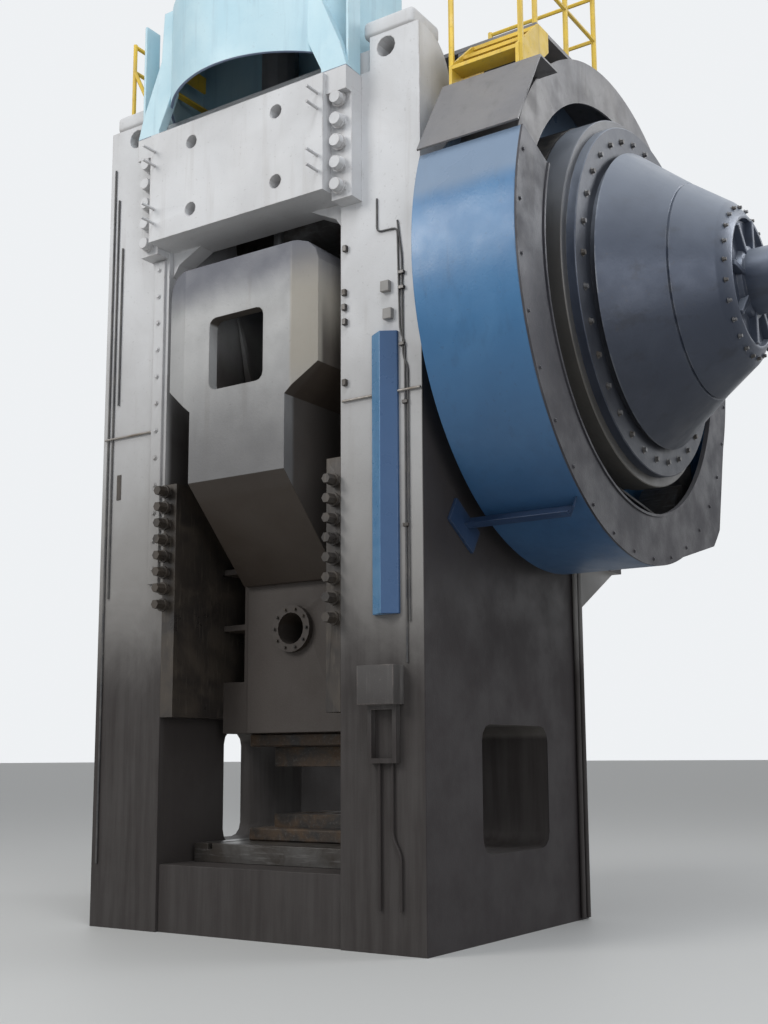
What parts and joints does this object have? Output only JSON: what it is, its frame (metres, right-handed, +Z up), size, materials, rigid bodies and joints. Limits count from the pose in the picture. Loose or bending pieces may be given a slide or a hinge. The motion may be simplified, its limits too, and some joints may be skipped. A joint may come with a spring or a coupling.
{
  "type": "crank forging press",
  "caption": "Tall straight-sided mechanical forging press: box frame, long guided ram with nose, crown plate and hood, and a big guarded flywheel with conical clutch cover on its right side.",
  "frame": {"origin": "middle of the frame's footprint on the floor, under the shared axis of the ram and the lower ejector", "axes": "+X along the shafts towards the flywheel on the press's right side, +Y from the working front to the back, +Z up"},
  "size_m": [6.8, 5.1285, 9.38],
  "materials": {
    "frame_paint": "pale grey machine paint, sooty and greasy towards the floor",
    "ram_paint": "grey paint worn and smoked dark at the top",
    "guard_paint": "mid-blue gloss paint, weathered pale along the top",
    "hood_paint": "pale blue paint, dusty",
    "wheel_paint": "dark blue-grey oily paint with soft sheen",
    "dusty_paint": "grey-brown dusty sheet",
    "bare_steel": "machined steel with a film of oil",
    "tool_steel": "scaled and blackened hot-work steel",
    "gear_iron": "oily cast iron with machined flanks",
    "guide_bronze": "bronze guide and bearing metal, greasy",
    "rail_paint": "yellow safety paint, scuffed",
    "belt_rubber": "matt black belt rubber"
  },
  "bodies": {
    "frame": {"left_upright": "frame_paint", "right_upright": "frame_paint", "bed": "frame_paint", "bolster": "bare_steel", "lower_die_holder": "tool_steel", "lower_die": "tool_steel", "crown_front_beam": "frame_paint", "crown_rear_beam": "frame_paint", "crown_cap": "frame_paint", "front_left_tie_rod": "bare_steel", "front_right_tie_rod": "bare_steel", "rear_left_tie_rod": "bare_steel", "rear_right_tie_rod": "bare_steel", "left_top_box": "frame_paint", "right_top_box": "frame_paint", "front_left_guide": "guide_bronze", "front_right_guide": "guide_bronze", "rear_left_guide": "guide_bronze", "rear_right_guide": "guide_bronze", "cover_strip": "frame_paint", "cable_channel": "guard_paint", "control_box": "frame_paint", "left_main_bearing": "guide_bronze", "right_main_bearing": "guide_bronze", "receiving_bearing": "guide_bronze", "gear_case": "dusty_paint", "gear_case_cover": "dusty_paint", "brake_caliper": "tool_steel", "guard_shell": "guard_paint", "guard_ring": "dusty_paint", "guard_arch": "dusty_paint", "guard_inner_plate": "guard_paint", "guard_bracket": "guard_paint", "motor": "guard_paint", "motor_console": "frame_paint", "v_belts": "belt_rubber", "top_hood": "hood_paint", "balance_cylinder": "dusty_paint", "service_deck": "dusty_paint", "deck_railing": "rail_paint", "guard_stairs": "rail_paint", "left_ladder": "rail_paint"},
    "ram": {"ram": "ram_paint", "ram_port_flange": "ram_paint", "upper_die_holder": "tool_steel", "upper_die": "tool_steel", "balance_rod": "bare_steel"},
    "upper_ejector": {"upper_ejector": "bare_steel"},
    "lower_ejector": {"lower_ejector": "bare_steel"},
    "eccentric": {"eccentric_shaft": "bare_steel", "main_gear": "gear_iron", "brake_disc": "gear_iron"},
    "rod": {"connecting_rod": "gear_iron", "wrist_pin": "bare_steel"},
    "receiving": {"receiving_shaft": "bare_steel", "pinion": "gear_iron"},
    "flywheel": {"flywheel": "wheel_paint", "clutch_cover": "wheel_paint"},
    "motor_rotor": {"motor_pulley": "gear_iron", "motor_shaft": "bare_steel"}
  },
  "joints": [
    {"name": "ram_slide", "type": "slide", "parent": "frame", "child": "ram", "axis": [0, 0, 1], "range_m": [-0.46, 0]},
    {"name": "upper_ejector_slide", "type": "slide", "parent": "ram", "child": "upper_ejector", "axis": [0, 0, 1], "range_m": [-0.06, 0]},
    {"name": "lower_ejector_slide", "type": "slide", "parent": "frame", "child": "lower_ejector", "axis": [0, 0, 1], "range_m": [0, 0.08]},
    {"name": "eccentric_turn", "type": "hinge", "parent": "frame", "child": "eccentric", "pos_m": [0, 0, 7.15], "axis": [1, 0, 0], "continuous": true},
    {"name": "rod_swing", "type": "hinge", "parent": "eccentric", "child": "rod", "pos_m": [0, 0, 7.38], "axis": [1, 0, 0], "continuous": true},
    {"name": "receiving_turn", "type": "hinge", "parent": "frame", "child": "receiving", "pos_m": [0, 0.5, 5.88], "axis": [1, 0, 0], "continuous": true},
    {"name": "flywheel_turn", "type": "hinge", "parent": "frame", "child": "flywheel", "pos_m": [0, 0.5, 5.88], "axis": [1, 0, 0], "continuous": true},
    {"name": "motor_turn", "type": "hinge", "parent": "frame", "child": "motor_rotor", "pos_m": [0, 2.19706, 4.18294], "axis": [1, 0, 0], "continuous": true}
  ],
  "couplings": [
    {"joint": "rod_swing", "follows": "eccentric_turn", "ratio": -1},
    {"joint": "receiving_turn", "follows": "eccentric_turn", "ratio": -3},
    {"joint": "motor_turn", "follows": "flywheel_turn", "ratio": 6.1786}
  ]
}
